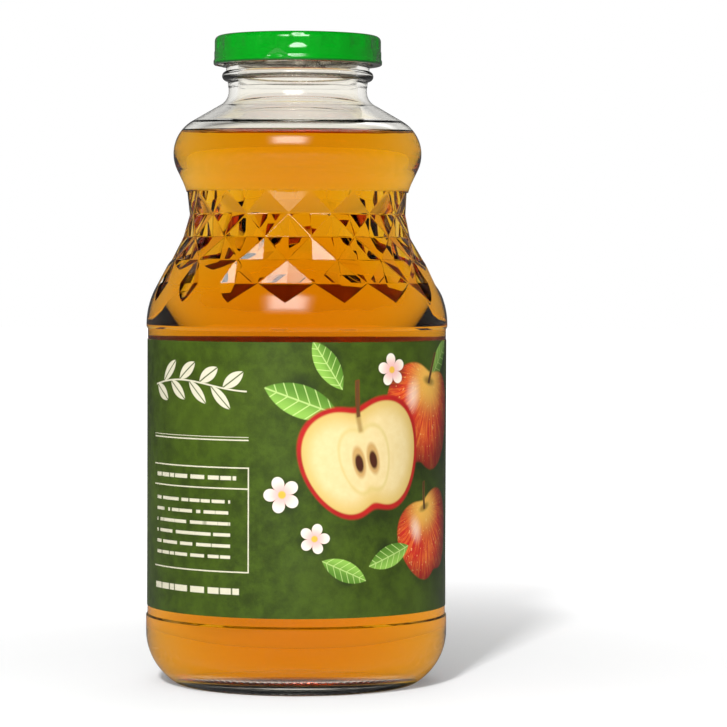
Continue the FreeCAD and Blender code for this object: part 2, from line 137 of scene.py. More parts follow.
def trace(name, line, azimuth=0.0):
    """Draws an outline by extruding one vertex from point to point; stays in edit mode."""
    clear_selection()
    bpy.ops.mesh.primitive_plane_add(size=MM)
    piece = bpy.context.active_object
    piece.name = name
    piece.data.name = name
    bpy.ops.object.mode_set(mode="EDIT")
    bpy.ops.mesh.select_mode(type="VERT")
    bpy.ops.mesh.select_all(action="SELECT")
    bpy.ops.mesh.merge(type="CENTER")
    turn = math.radians(azimuth)
    places = [Vector((r * math.sin(turn), -r * math.cos(turn), z)) for r, z in line]
    bpy.ops.transform.translate(value=places[0])
    for before, after in zip(places, places[1:]):
        bpy.ops.mesh.extrude_region_move(TRANSFORM_OT_translate={"value": after - before})
    return piece


def turn_round(steps, angle=360.0):
    """Spins the whole outline about the upright axis and closes its seam and poles."""
    bpy.ops.mesh.select_all(action="SELECT")
    bpy.ops.mesh.spin(steps=steps, angle=math.radians(angle), center=(0, 0, 0), axis=(0, 0, 1))
    bpy.ops.mesh.select_all(action="SELECT")
    bpy.ops.mesh.remove_doubles(threshold=WELD)
    bpy.ops.mesh.normals_make_consistent(inside=False)


def pick(piece, wanted):
    """In edit mode, selects the vertices whose place is wanted."""
    bpy.ops.mesh.select_mode(type="VERT")
    bpy.ops.mesh.select_all(action="DESELECT")
    form = bmesh.from_edit_mesh(piece.data)
    for vertex in form.verts:
        vertex.select = bool(wanted(vertex.co))
    form.select_flush_mode()
    bmesh.update_edit_mesh(piece.data)
    return sum(vertex.select for vertex in form.verts)


def radius_of(place):
    return math.hypot(place.x, place.y)


def azimuth_of(place):
    """Degrees round the axis, 0 at the front and 90 at +X."""
    return math.degrees(math.atan2(place.x, -place.y))


def facing_out(face):
    """How far a face looks away from the axis: 1 is straight out, -1 straight in."""
    middle, normal = face.center, face.normal
    return (middle.x * normal.x + middle.y * normal.y) / max(radius_of(middle), MM)


def finish_piece(piece, smooth_angle=35.0):
    """Leaves edit mode and shades the piece smooth, apart from its sharp edges."""
    clear_selection()
    piece.select_set(True)
    bpy.context.view_layer.objects.active = piece
    bpy.ops.object.shade_smooth_by_angle(angle=math.radians(smooth_angle))
    print("%s: %d faces" % (piece.name, len(piece.data.polygons)))


def apply_modifier(piece, kind, name, **settings):
    """Adds one modifier, sets it and applies it."""
    modifier = piece.modifiers.new(name, kind)
    for key, value in settings.items():
        setattr(modifier, key, value)
    bpy.context.view_layer.objects.active = piece
    bpy.ops.object.modifier_apply(modifier=modifier.name)


print("helpers for outlines, selections and modifiers are ready")

# %% [markdown]
# ## The waves of the shoulder
# Above the label the glass narrows to a waist for the hand, swells again, and narrows to
# the neck. That is four bends, turned out and in by turns, with short straight slopes
# between them. Where a slope touches two bends, both have the same normal there, and its
# angle follows from the distance between their centres. The same centres serve the
# inside of the glass: a wall thickness is taken off the round bends and added to the
# hollow ones.

# %% The four bends and the angles where they meet
WAVES = [
    ((body_radius - 25.0 * MM, flare_height), 25.0 * MM, 1),
    ((body_radius + 7.5 * MM, waist_height), 20.9 * MM, -1),
    ((body_radius - 20.5 * MM, bulge_height), 12.0 * MM, 1),
    ((neck_radius + 5.0 * MM, neck_height), 5.0 * MM, -1),
]


def shared_angle(lower, upper):
    """The angle of the normal where the slope between two bends touches both."""
    across = upper[0][0] - lower[0][0]
    rise = upper[0][1] - lower[0][1]
    reach = lower[2] * lower[1] - upper[2] * upper[1]
    lean = math.acos(reach / math.hypot(across, rise))
    return math.degrees(math.atan2(rise, across) - lean)


meeting = [0.0] + [shared_angle(a, b) for a, b in zip(WAVES, WAVES[1:])] + [0.0]


def wave_line(inset, step=3.0):
    """The waves from the flare up to the neck, at a depth inside the outer surface."""
    points = []
    for (centre, radius, side), start, end in zip(WAVES, meeting, meeting[1:]):
        points += bend(centre, radius - side * inset, start, end, side, step)
    return points


def outer_radius(height):
    """Radius of the round outer surface at a height between the panel and the neck."""
    line = wave_line(0.0, step=0.5)
    for (r0, z0), (r1, z1) in zip(line, line[1:]):
        if z0 <= height <= z1:
            return r0 + (r1 - r0) * (height - z0) / (z1 - z0)
    return body_radius


print("the bends meet at", ["%.1f" % angle for angle in meeting])
print("waist radius %.1f mm" % (outer_radius(waist_height) / MM))

# %% [markdown]
# ## The bottle
# The outline runs from the middle of the pushed-up base, over the ring the bottle stands
# on, up the outside to the rim, over the lip, and down the inside to the floor. A Solidify
# modifier would give an even wall, but a real bottle is thicker at the base and has a
# rounded lip. Spinning one closed outline gives the glass its true wall, which matters
# because light bends at both of its faces.

# %% The outline of the glass
ring_curve = 0.5 * MM
bead_out = neck_radius + 2.1 * MM - bead_curve
bead_low = -math.degrees(math.acos((step_radius - bead_out) / bead_curve))
bead_high = math.degrees(math.acos((mouth_radius - bead_out) / bead_curve))
lip_out = mouth_radius - lip_curve
sunk_radius = body_radius - panel_depth
ring_end = -math.degrees(math.asin(heel_top / heel_curve))

outside_line = shallow_dome(dome_edge, 0.0, dome_rise)[:-1]
outside_line += bend((dome_edge + 0.3 * MM, ring_curve), ring_curve, -150.0, -90.0, step=22.5)
outside_line += [(foot_radius - 0.4 * MM, 0.0)]
outside_line += bend((body_radius - heel_curve, heel_top), heel_curve, ring_end + 2.0, 0.0)
outside_line += [(body_radius, panel_foot - 1.1 * panel_ramp)]
outside_line += [(body_radius - 0.1 * panel_depth, panel_foot - 0.8 * panel_ramp)]
outside_line += [(sunk_radius + 0.1 * panel_depth, panel_foot - 0.1 * panel_ramp)]
outside_line += [(sunk_radius, panel_foot + 0.2 * panel_ramp)]
outside_line += [(sunk_radius, panel_foot + (panel_head - panel_foot) * k / 4) for k in (1, 2, 3)]
outside_line += [(sunk_radius, panel_head - 0.2 * panel_ramp)]
outside_line += [(sunk_radius + 0.1 * panel_depth, panel_head + 0.1 * panel_ramp)]
outside_line += [(body_radius - 0.1 * panel_depth, panel_head + 0.8 * panel_ramp)]
outside_line += wave_line(0.0)
outside_line += [(neck_radius, step_height - 0.15 * MM)]
outside_line += [(neck_radius + 0.15 * MM, step_height)]
outside_line += bend((bead_out, bead_height), bead_curve, bead_low, bead_high, step=12.0)
outside_line += bend((lip_out, rim_top - lip_curve), lip_curve, 0.0, 90.0, step=15.0)
print("outside of the glass: %d points" % len(outside_line))

# %% The inside of the glass
floor_height = 5.5 * MM
floor_rise = 1.6 * MM
floor_corner = 10.0 * MM
inner_radius = body_radius - wall
floor_edge = inner_radius - floor_corner


def hollow_line(inset):
    """The inside from the neck down to the middle of the floor, moved out into the wall."""
    line = wave_line(wall - inset)[::-1]
    corner_middle = (floor_edge, floor_height + floor_corner)
    line += bend(corner_middle, floor_corner + inset, 0.0, -90.0, step=6.0)
    line += shallow_dome(floor_edge, floor_height - inset, floor_rise)[::-1][1:]
    return line


bore_curve = 0.6 * MM
bore_corner = (bore_radius + bore_curve, rim_top - bore_curve)
inner_lip = bend(bore_corner, bore_curve, 90.0, 180.0, step=22.5)
glass_line = outside_line + inner_lip + hollow_line(0.0)
print("outline of the glass: %d points" % len(glass_line))

# %% Spin the glass
GLASS_STEPS = 192
bottle = trace("bottle_glass", glass_line)
turn_round(GLASS_STEPS)
finish_piece(bottle)

# %% [markdown]
# ## The pressed diamonds
# A band of diamonds circles the waist so that wet hands keep their hold. In the mould each
# diamond is a raised four-sided point, so in the glass it is a pit with four flat sides,
# and the ridges between the pits cross in a lattice. To make them, a ring is spun in wide
# steps, so that its inner face is a grid with one column for each half diamond. Every
# other crossing is pushed in to make a pit, the crossings that are left are joined by
# ridges, the ridges are rounded a little as in real pressed glass, and the ring is then
# taken away from the bottle with a Boolean.

# %% The grid of the diamonds
CELLS = 16
pattern_turn = -4.5
row_pitch = 7.2 * MM
first_row = waist_height - 23.3 * MM
tip_drop = 6.0 * MM
rows = [first_row - tip_drop] + [first_row + row * row_pitch for row in range(5)]
pit_depth = 2.0 * MM
ridge_depth = 0.12 * MM
ridge_round = 0.3 * MM
tip_weld = 3.0 * MM
clear_radius = body_radius + wall

ring_line = [(outer_radius(height) - ridge_depth, height) for height in rows]
ring_line += [(clear_radius, rows[-1] + 0.5 * MM), (clear_radius, rows[0])]
ring_line += [ring_line[0]]
ring = trace("diamond_ring", ring_line, azimuth=pattern_turn)
turn_round(2 * CELLS)
print("diamonds: %d round, in %d rows" % (CELLS, len(rows)))


def half_cell(place):
    """Number of the grid column that a place is in, counted from the pattern's start."""
    return round((azimuth_of(place) - pattern_turn) / (180.0 / CELLS))


def in_column(place, row, corner):
    """True on the columns where a row (the tips are row -1) has its corners or pits."""
    odd = half_cell(place) % 2
    return (odd == (row + 1) % 2) == corner


# %% Push the pits in and pull the tips up
def on_row(place, height):
    return abs(place.z - height) < 0.01 * MM and radius_of(place) < body_radius


for row, height in enumerate(rows[1:]):
    round_radius = outer_radius(height)
    shrink = (round_radius - pit_depth) / (round_radius - ridge_depth)
    pick(ring, lambda place: on_row(place, height) and not in_column(place, row, True))
    bpy.ops.transform.resize(value=(shrink, shrink, 1), center_override=(0, 0, 0))

lowest, second = rows[0], rows[1]
pick(ring, lambda place: place.z < lowest + 0.01 * MM and not in_column(place, -1, True))
bpy.ops.transform.translate(value=(0, 0, second - lowest))
pick(ring, lambda place: on_row(place, second) and in_column(place, 0, True))
bpy.ops.mesh.remove_doubles(threshold=tip_weld)
print("pits pushed in on %d rows" % len(rows[1:]))

# %% Join the corners with ridges and round them
def is_corner(place):
    if radius_of(place) > body_radius:
        return False
    row = min(range(len(rows)), key=lambda index: abs(rows[index] - place.z)) - 1
    return in_column(place, row, True)


pick(ring, is_corner)
bpy.ops.mesh.vert_connect()
pick(ring, lambda place: radius_of(place) < body_radius and place.z < rows[-1] - 1.0 * MM)
bpy.ops.mesh.select_mode(type="EDGE")
bpy.ops.mesh.bevel(offset=ridge_round, segments=2, affect="EDGES")
bpy.ops.mesh.select_all(action="SELECT")
bpy.ops.mesh.normals_make_consistent(inside=False)
finish_piece(ring)

# %% Take the ring away from the bottle
apply_modifier(bottle, "BOOLEAN", "diamonds", operation="DIFFERENCE", solver="EXACT", object=ring)
bpy.data.objects.remove(ring)
finish_piece(bottle, 20.0)
apply_modifier(bottle, "WEIGHTED_NORMAL", "even_shading", keep_sharp=True)

# %% [markdown]
# ## The juice
# The juice fills the bottle to just under the neck. It is one closed body of liquid. Its
# sides reach a third of a millimetre into the glass: if they only met the wall, or stopped
# short of it, a thin silver film of air would show all round. At the wall the surface
# climbs nearly two millimetres, and that steep little slope shows as the dark fill line.
# The slope is a short list of steps: how far in from the wall, and how far down, in
# millimetres. The same function that drew the inside of the glass draws the rest.

# %% The body of juice
overlap = 0.3 * MM
MENISCUS = [(0.1, 0.5), (0.3, 0.95), (0.7, 1.35), (1.3, 1.65), (2.2, 1.83), (3.5, 1.9), (5.6, 1.92)]
juice_line = [point for point in hollow_line(overlap)[::-1] if point[1] < fill_level - 0.3 * MM]
inner_edge = outer_radius(fill_level) - wall
juice_line += [(inner_edge + overlap, fill_level), (inner_edge, fill_level - 0.02 * MM)]
for inward, sag in MENISCUS:
    juice_line += [(inner_edge - inward * MM, fill_level - sag * MM)]
juice_line += [(0.0, fill_level - MENISCUS[-1][1] * MM)]
juice = trace("juice", juice_line)
turn_round(GLASS_STEPS)
finish_piece(juice)

# %% [markdown]
# ## The cap
# The cap is one pressing of thin lacquered steel. Its edge turns down over the lip of the
# glass as a skirt, and the skirt ends in a rolled hem. The middle is sunk, with a low
# button that pops up when the seal is broken. Like the bottle, it is spun from an outline
# that goes round the whole section, because the roll of the hem is thicker than the sheet.

# %% The outline of the cap
FINE_STEPS = 256
sheet = 0.7 * MM
skirt_radius = cap_radius - 0.25 * MM
cap_top = cap_high.z
cap_bottom = cap_low.z
edge_curve = 2.0 * MM
fold_curve = 0.4 * MM
hem_curve = 0.7 * MM
hem_top = cap_bottom + 1.5 * MM
sink_radius = bore_radius - 0.6 * MM
sink_top = cap_top - 0.9 * MM
button_top = sink_top + 0.45 * MM
button_radius = 8.5 * MM
edge_out = skirt_radius - edge_curve
hem_out = cap_radius - hem_curve
sink_out = sink_radius - sheet

cap_line = [(0.0, button_top), (button_radius - 1.5 * MM, button_top - 0.02 * MM)]
cap_line += [(button_radius - 1.0 * MM, button_top - 0.08 * MM)]
cap_line += [(button_radius - 0.2 * MM, sink_top + 0.08 * MM), (button_radius + 0.3 * MM, sink_top)]
cap_line += bend((sink_out - fold_curve, sink_top + fold_curve), fold_curve, -90.0, 0.0, step=30.0)
cap_line += bend((sink_out + fold_curve, cap_top - fold_curve), fold_curve, 180.0, 90.0, step=30.0)
cap_line += bend((edge_out, cap_top - edge_curve), edge_curve, 90.0, 0.0, step=10.0)
skirt_run = cap_top - edge_curve - hem_top - 0.4 * MM
cap_line += [(skirt_radius, cap_top - edge_curve - skirt_run * k / 12) for k in range(1, 13)]
cap_line += [(cap_radius - 0.08 * MM, hem_top + 0.15 * MM), (cap_radius, hem_top - 0.2 * MM)]
cap_line += bend((hem_out, cap_bottom + hem_curve), hem_curve, 0.0, -180.0, step=20.0)
cap_line += [(hem_out - hem_curve, hem_top), (skirt_radius - sheet, hem_top + 0.4 * MM)]
cap_line += bend((edge_out, rim_top - edge_curve + sheet), edge_curve - sheet, 0.0, 90.0, step=15.0)
cap_line += [(sink_radius, rim_top), (sink_radius, sink_top - sheet)]
cap_line += [(button_radius, sink_top - sheet), (button_radius - 1.2 * MM, button_top - sheet)]
cap_line += [(0.0, button_top - sheet)]
cap = trace("twist_cap", cap_line)
turn_round(FINE_STEPS)
print("outline of the cap: %d points" % len(cap_line))

# %% [markdown]
# Two kinds of press marks are made by pushing in the vertices near them, a little at a
# time over a smaller and smaller patch, so that their sides come out sloped: sixteen
# grips round the upper edge, and four arches low on the skirt where the lugs turn in.

# %% Press the grips and the lugs
GRIPS = 16
LUGS = 4
lug_turn = -14.0


def off_mark(place, count, turn):
    """Distance round the skirt from the nearest of some evenly spaced marks."""
    pitch = 360.0 / count
    off = (azimuth_of(place) - turn + pitch / 2) % pitch - pitch / 2
    return abs(math.radians(off)) * skirt_radius


def push_in(piece, wanted, depth):
    """Moves the wanted vertices of the skirt towards the axis and counts them."""
    share = 1.0 - depth / skirt_radius
    count = pick(piece, wanted)
    bpy.ops.transform.resize(value=(share, share, 1), center_override=(0, 0, 0))
    return count


for half_width, lower, upper in ((2.9, 4.9, 0.7), (2.4, 4.5, 1.0), (1.9, 4.1, 1.3)):
    pushed = push_in(
        cap,
        lambda place: radius_of(place) > skirt_radius - 1.3 * MM
        and off_mark(place, GRIPS, 0.0) < half_width * MM
        and cap_top - lower * MM < place.z < cap_top - upper * MM
        and (place.z > rim_top - edge_curve or radius_of(place) > skirt_radius - 0.6 * MM),
        0.14 * MM,
    )
print("grips pressed in, %d vertices in the deepest part" % pushed)


def in_arch(place, half_width, tall):
    """True low on the skirt, under an arch over a lug."""
    off = off_mark(place, LUGS, lug_turn) / (half_width * MM)
    return off < 1.0 and place.z < cap_bottom + tall * MM * (1.0 - off * off)


for half_width, tall in ((4.4, 3.4), (3.8, 2.9)):
    push_in(cap, lambda place: in_arch(place, half_width, tall), 0.16 * MM)
for push in range(3):
    push_in(
        cap,
        lambda place: in_arch(place, 4.2, 9.0) and place.z < hem_top
        and radius_of(place) < skirt_radius - 0.6 * MM,
        0.5 * MM,
    )
finish_piece(cap)

# %% [markdown]
# ## The label
# The label is one strip of paper that goes all the way round in the shallow panel, and its
# ends lap over each other at the back. A flat plane could be bent round, but its seam would
# need care, so it is spun as a thin tube with both faces and both edges. The lap is a
# second short strip on top of it, filled, spun part of the way round and joined on.

# %% The strip
paper = 0.15 * MM
label_line = [(sunk_radius, label_low.z), (sunk_radius + paper, label_low.z)]
label_line += [(sunk_radius + paper, label_high.z), (sunk_radius, label_high.z)]
label_line += [label_line[0]]
label = trace("paper_label", label_line)
turn_round(FINE_STEPS)
finish_piece(label)

# %% The lap at the back
lap_turn = 16.0
lap_line = [(r + paper, z) for r, z in label_line]
lap = trace("label_lap", lap_line, azimuth=180.0 + lap_turn / 2)
bpy.ops.mesh.select_all(action="SELECT")
bpy.ops.mesh.remove_doubles(threshold=WELD)
bpy.ops.mesh.edge_face_add()
turn_round(12, lap_turn)
finish_piece(lap)
azimuths = [azimuth_of(vertex.co) % 360.0 for vertex in lap.data.vertices]
print("the lap runs from %.1f to %.1f degrees" % (min(azimuths), max(azimuths)))
lap.select_set(True)
label.select_set(True)
bpy.context.view_layer.objects.active = label
bpy.ops.object.join()

# %% [markdown]
# ## Tying the pieces together
# Nothing on a sealed bottle moves, so every piece rides on the same body. Each one also
# takes the place of its measured solid, which is hidden. A loop keeps the three calls
# together, so that no piece can be left out of one of them.

# %% Everything rides on the one body and stands for its measured solid
for piece, node, slot in (
    (bottle, "glass_bottle", "glass"),
    (juice, "apple_juice", "juice"),
    (cap, "cap", "cap"),
    (label, "label", "label"),
):
    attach(piece, "root")
    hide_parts(node)
    print("%s stands for %s" % (piece.name, node))

# %% [markdown]
# ## Wiring for the finishes
# Every finish is a node tree that works from Object coordinates, which are metres in this
# scene, so a pattern has its real size. A small helper joins the nodes as they are made.
# An effect that several finishes share becomes a node group with named inputs.

# %% Helpers for nodes
class Wiring:
    """Adds nodes to one tree and joins them as they are made."""

    def __init__(self, tree):
        self.tree = tree

    def join(self, output, entry):
        self.tree.links.new(output, entry)

    def fill(self, inputs, values):
        """Gives each input a value to keep, or joins it to the output that it follows."""
        for key, value in values.items():
            if isinstance(value, bpy.types.NodeSocket):
                self.join(value, inputs[key])
            else:
                inputs[key].default_value = value

    def add(self, kind, values=None, **settings):
        node = self.tree.nodes.new(kind)
        for key, setting in settings.items():
            setattr(node, key, setting)
        self.fill(node.inputs, values or {})
        return node

    def use(self, group, values):
        """Places a node group and gives its outputs."""
        return self.add("ShaderNodeGroup", values, node_tree=group).outputs

    def place(self):
        return self.add("ShaderNodeTexCoord").outputs["Object"]

    def calc(self, operation, *values):
        node = self.add("ShaderNodeMath", dict(enumerate(values)), operation=operation)
        return node.outputs[0]

    def plus(self, first, second):
        return self.calc("ADD", first, second)

    def minus(self, first, second):
        return self.calc("SUBTRACT", first, second)

    def times(self, first, second):
        return self.calc("MULTIPLY", first, second)

    def ratio(self, first, second):
        return self.calc("DIVIDE", first, second)

    def size(self, value):
        """The value without its sign."""
        return self.calc("ABSOLUTE", value)

    def fade(self, value, low, high, start=0.0, end=1.0):
        """A smooth change from start to end while value goes from low to high."""
        values = {0: value, 1: low, 2: high, 3: start, 4: end}
        node = self.add("ShaderNodeMapRange", values, interpolation_type="SMOOTHSTEP")
        return node.outputs[0]

    def mix(self, mask, under, over):
        node = self.add("ShaderNodeMix", {0: mask, 6: under, 7: over}, data_type="RGBA")
        return node.outputs[2]

    def noise(self, place, scale, detail=2.0, roughness=0.5):
        values = {"Vector": place, "Scale": scale, "Detail": detail, "Roughness": roughness}
        return self.add("ShaderNodeTexNoise", values).outputs["Fac"]

    def stretch(self, place, scale):
        return self.add("ShaderNodeMapping", {"Vector": place, "Scale": scale}).outputs[0]

    def bump(self, height, distance):
        values = {"Height": height, "Distance": distance}
        return self.add("ShaderNodeBump", values).outputs["Normal"]


def new_group(name, inputs, outputs):
    """An empty shader group; inputs give a first value, outputs give a socket type."""
    print("group %s: %s to %s" % (name, list(inputs), list(outputs)))
    tree = bpy.data.node_groups.new(name, "ShaderNodeTree")
    for key, value in inputs.items():
        kind = "NodeSocketFloat" if isinstance(value, float) else "NodeSocketColor"
        if value is None:
            kind = "NodeSocketVector"
        socket = tree.interface.new_socket(key, in_out="INPUT", socket_type=kind)
        if value is not None:
            socket.default_value = value
    for key, kind in outputs.items():
        tree.interface.new_socket(key, in_out="OUTPUT", socket_type="NodeSocket" + kind)
    start = tree.nodes.new("NodeGroupInput")
    end = tree.nodes.new("NodeGroupOutput")
    return Wiring(tree), start.outputs, end.inputs


def new_material(name, piece):
    """One more material on a piece; gives its shader's inputs and its wiring."""
    material = bpy.data.materials.new(name)
    material.use_nodes = True
    piece.data.materials.append(material)
    print("material %d of %s: %s" % (len(piece.data.materials), piece.name, name))
    return material.node_tree.nodes["Principled BSDF"].inputs, Wiring(material.node_tree)


def give_last_material(piece, wanted):
    """Gives the wanted faces the material that the piece got last."""
    faces = [face for face in piece.data.polygons if wanted(face)]
    for face in faces:
        face.material_index = len(piece.data.materials) - 1
    print("%s on %d faces" % (piece.data.materials[-1].name, len(faces)))


def colour(red, green, blue):
    """A colour as it shows on a screen, from 0 to 255, as the shader wants it."""
    parts = []
    for part in (red, green, blue):
        share = part / 255.0
        parts.append(share / 12.92 if share < 0.04045 else ((share + 0.055) / 1.055) ** 2.4)
    return (*parts, 1.0)


def grey(level):
    """A neutral colour, from 0 for black to 1 for white, as the shader wants it."""
    return (level, level, level, 1.0)


print("a middle grey for the shader: %.3f" % colour(128, 128, 128)[0])

# %% [markdown]
# ## Where a point is round the bottle
# Prints, rings and wear on a round piece are easiest to lay out as on the flat: how far
# round from the front, how high, and how far from the axis. One group works these out
# from Object coordinates for all the finishes.

# %% Group: place round the axis
wires, given, result = new_group(
    "round_place",
    {"Place": None},
    {"Angle": "Float", "Height": "Float", "Radius": "Float"},
)
parts = wires.add("ShaderNodeSeparateXYZ", {0: given["Place"]}).outputs
front = wires.times(parts["Y"], -1.0)
angle = wires.calc("ARCTAN2", parts["X"], front)
squares = wires.plus(wires.calc("POWER", parts["X"], 2.0), wires.calc("POWER", parts["Y"], 2.0))
radius = wires.calc("SQRT", squares)
wires.fill(result, {"Angle": angle, "Height": parts["Z"], "Radius": radius})
round_place = wires.tree

# %% [markdown]
# ## Handling marks
# Glass, lacquer and coated paper are never evenly shiny: fingers and packing leave faint
# duller patches. Two sizes of noise, multiplied, give patches with a finer grain in them.

# %% Group: handling marks
wires, given, result = new_group(
    "handling_marks",
    {"Place": None, "Size": 0.02, "Clean": 0.02, "Dull": 0.08},
    {"Roughness": "Float"},
)
coarse = wires.noise(given["Place"], wires.ratio(1.0, given["Size"]), 3.0, 0.6)
fine = wires.noise(given["Place"], wires.ratio(9.0, given["Size"]), 2.0, 0.5)
patches = wires.times(wires.fade(coarse, 0.42, 0.75), wires.fade(fine, 0.25, 0.8))
marks = wires.fade(patches, 0.0, 1.0, given["Clean"], given["Dull"])
wires.join(marks, result["Roughness"])
handling_marks = wires.tree

# %% [markdown]
# ## Pressed glass
# Clear bottle glass has a slight grey-green cast, and its surface, which touched a mould,
# is faintly wavy. The ring that the bottle stands on is stippled with short radial
# bars, so that it doesn't stick or scratch on the belt. They are too small to be worth
# faces, so a bump makes them.

# %% Finish of the glass
surface, wires = new_material("clear_glass", bottle)
place = wires.place()
spot = wires.use(round_place, {"Place": place})
dull = wires.use(handling_marks, {"Place": place, "Clean": 0.0, "Dull": 0.03})["Roughness"]
waves = wires.times(wires.noise(place, 38.0, 1.0), 0.25)
bars = wires.calc("SINE", wires.times(spot["Angle"], 96.0))
on_ring = wires.fade(spot["Height"], 0.7 * MM, 0.2 * MM)
bars = wires.times(wires.fade(bars, -0.3, 0.5), on_ring)
relief = wires.bump(wires.plus(waves, bars), 0.25 * MM)
clear = {"Base Color": colour(253, 251, 245), "Transmission Weight": 1.0, "IOR": 1.5}
wires.fill(surface, {**clear, "Roughness": dull, "Normal": relief})

# %% [markdown]
# Where the juice wets the glass, two clear materials of nearly the same kind touch, and
# almost nothing is mirrored there. So the wet part of the inside has a second material,
# the same glass with its mirror image taken away.

# %% Wetted glass
def is_wet(face):
    """True for the faces inside the bottle below the juice's surface."""
    height, outward = face.center.z, facing_out(face)
    on_wall = outward < -0.05
    on_floor = face.normal.z > 0.5 and outward < 0.2 and height < floor_height + 3.0 * MM
    return (on_wall or on_floor) and floor_height < height < fill_level - 1.0 * MM


wetted = bottle.data.materials[0].copy()
wetted.name = "wetted_glass"
wetted.node_tree.nodes["Principled BSDF"].inputs["Specular Tint"].default_value = grey(0.0)
bottle.data.materials.append(wetted)
give_last_material(bottle, is_wet)

# %% [markdown]
# ## Apple juice
# Filtered apple juice is clear and takes its colour from depth: it lets red through, takes
# part of the green and nearly all of the blue. So its surface is plain clear liquid and
# the colour is an absorption inside the body: a thin layer at the edge looks pale gold,
# and the full width looks amber. A coloured surface would look the same at every depth.
# The mirror image is taken away here too, and a faint bump keeps the liquid from being
# as flawless as a lens.

# %% Finish of the juice
surface, wires = new_material("apple_juice_liquid", juice)
still = wires.bump(wires.noise(wires.place(), 60.0, 2.0), 0.04 * MM)
clear = {"Base Color": grey(1.0), "Transmission Weight": 1.0, "IOR": 1.33}
wires.fill(surface, {**clear, "Roughness": 0.0, "Specular Tint": grey(0.0), "Normal": still})
absorbed = {"Color": (0.9675, 0.817, 0.0, 1.0), "Density": 92.0}
depth = wires.add("ShaderNodeVolumeAbsorption", absorbed)
output = wires.tree.nodes["Material Output"]
wires.join(depth.outputs["Volume"], output.inputs["Volume"])

# %% [markdown]
# ## Lacquered steel
# The cap is tinned steel with a green lacquer baked on its outside and a clear gloss over
# it. Low on the rolled hem the green is darkened as painted shade under the roll, and the
# inside and the underside of the rolled hem stay bare metal.

# %% Finish of the cap
surface, wires = new_material("green_lacquer", cap)
place = wires.place()
spot = wires.use(round_place, {"Place": place})
cloud = wires.noise(place, 140.0, 3.0)
green = wires.mix(cloud, colour(0, 130, 16), colour(0, 146, 24))
# painted shade: the green darkens towards the foot of the rolled hem
hem_shade = wires.fade(spot["Height"], cap_bottom + 1.1 * MM, cap_bottom + 0.5 * MM)
green = wires.mix(hem_shade, green, colour(0, 90, 16))
dull = wires.use(handling_marks, {"Place": place, "Clean": 0.16, "Dull": 0.32})["Roughness"]
tooth = wires.bump(wires.noise(place, 900.0, 2.0), 0.01 * MM)
wires.fill(surface, {"Base Color": green, "Roughness": dull, "Normal": tooth})
wires.fill(surface, {"Coat Weight": 1.0, "Coat Roughness": 0.04})

# %% [markdown]
# The bare metal is a second material on the same piece. Its faces could be picked by
# radius, but the grips reach in past the hem, so they are picked by where they look.

# %% Bare steel inside and under the hem
def is_bare(face):
    """True for the faces of the cap that look down or in, which have no lacquer."""
    under_top = face.center.z < cap_top - 1.5 * MM and radius_of(face.center) > bore_radius
    return face.normal.z < -0.55 or (under_top and facing_out(face) < -0.2)


surface, wires = new_material("bare_steel", cap)
place = wires.place()
tone = wires.mix(wires.noise(place, 300.0, 3.0), colour(168, 168, 164), colour(204, 204, 200))
dull = wires.use(handling_marks, {"Place": place, "Clean": 0.22, "Dull": 0.4})["Roughness"]
wires.fill(surface, {"Base Color": tone, "Metallic": 1.0, "Roughness": dull})
give_last_material(cap, is_bare)

# %% [markdown]
# ## The printed label
# The paper is printed dark green all over, with a faint cloudy texture like painted board,
# and carries fruit at the right and pale lettering at the left. Here the lettering is
# left off, and plain bars, rules and a leafy branch hold its place. The fruit is a design
# of its own, made only of simple shapes: a cut apple, whole ones, leaves and blossom.
# Each motif is a node group that works in its own small frame, where the motif reaches
# from -1 to 1, so it can be put anywhere on the label at any size and turn.

# %% Group: the frame of one motif
wires, given, result = new_group(
    "motif_frame",
    {"Along": 0.0, "Up": 0.0, "Centre Along": 0.0, "Centre Up": 0.0, "Size": 1.0, "Turn": 0.0},
    {"X": "Float", "Y": "Float"},
)
turn = wires.calc("RADIANS", given["Turn"])
cosine = wires.calc("COSINE", turn)
sine = wires.calc("SINE", turn)
east = wires.ratio(wires.minus(given["Along"], given["Centre Along"]), given["Size"])
north = wires.ratio(wires.minus(given["Up"], given["Centre Up"]), given["Size"])
turned_x = wires.plus(wires.times(east, cosine), wires.times(north, sine))
turned_y = wires.minus(wires.times(north, cosine), wires.times(east, sine))
wires.fill(result, {"X": turned_x, "Y": turned_y})
motif_frame = wires.tree

# %% [markdown]
# A flat shape is a distance turned into a mask: the distance from a centre gives a disc,
# the smaller of two distances joins two discs, and a narrow fade at the edge keeps it
# clean at any size. So nothing has to be painted, and the print stays sharp close up.

# %% Helpers for flat shapes
def length_from(wires, x, y, centre_x, centre_y, stretch=1.0):
    """Distance from a centre; stretch above 1 makes the round shape taller."""
    across = wires.minus(x, centre_x)
    rise = wires.ratio(wires.minus(y, centre_y), stretch)
    squares = wires.plus(wires.times(across, across), wires.times(rise, rise))
    return wires.calc("SQRT", squares)


def within(wires, distance, edge, soft=0.02):
    """1 where the distance is under the edge, with a soft border."""
    return wires.fade(distance, edge - soft, edge + soft, 1.0, 0.0)


def both(wires, first, second):
    return wires.times(first, second)


def either(wires, first, second):
    return wires.calc("MAXIMUM", first, second)


def bar_mask(wires, x, y, centre_x, centre_y, half_x, half_y, soft=0.06):
    """A plain bar with soft borders."""
    across = wires.size(wires.minus(x, centre_x))
    rise = wires.size(wires.minus(y, centre_y))
    return both(wires, within(wires, across, half_x, soft), within(wires, rise, half_y, soft))


print("shapes for the print: disc, bar, and how to join them")

# %% [markdown]
# An apple seen from the side is two upright ovals that melt into each other, narrower at
# the foot. The same outline serves the whole apple, the cut one and its core.

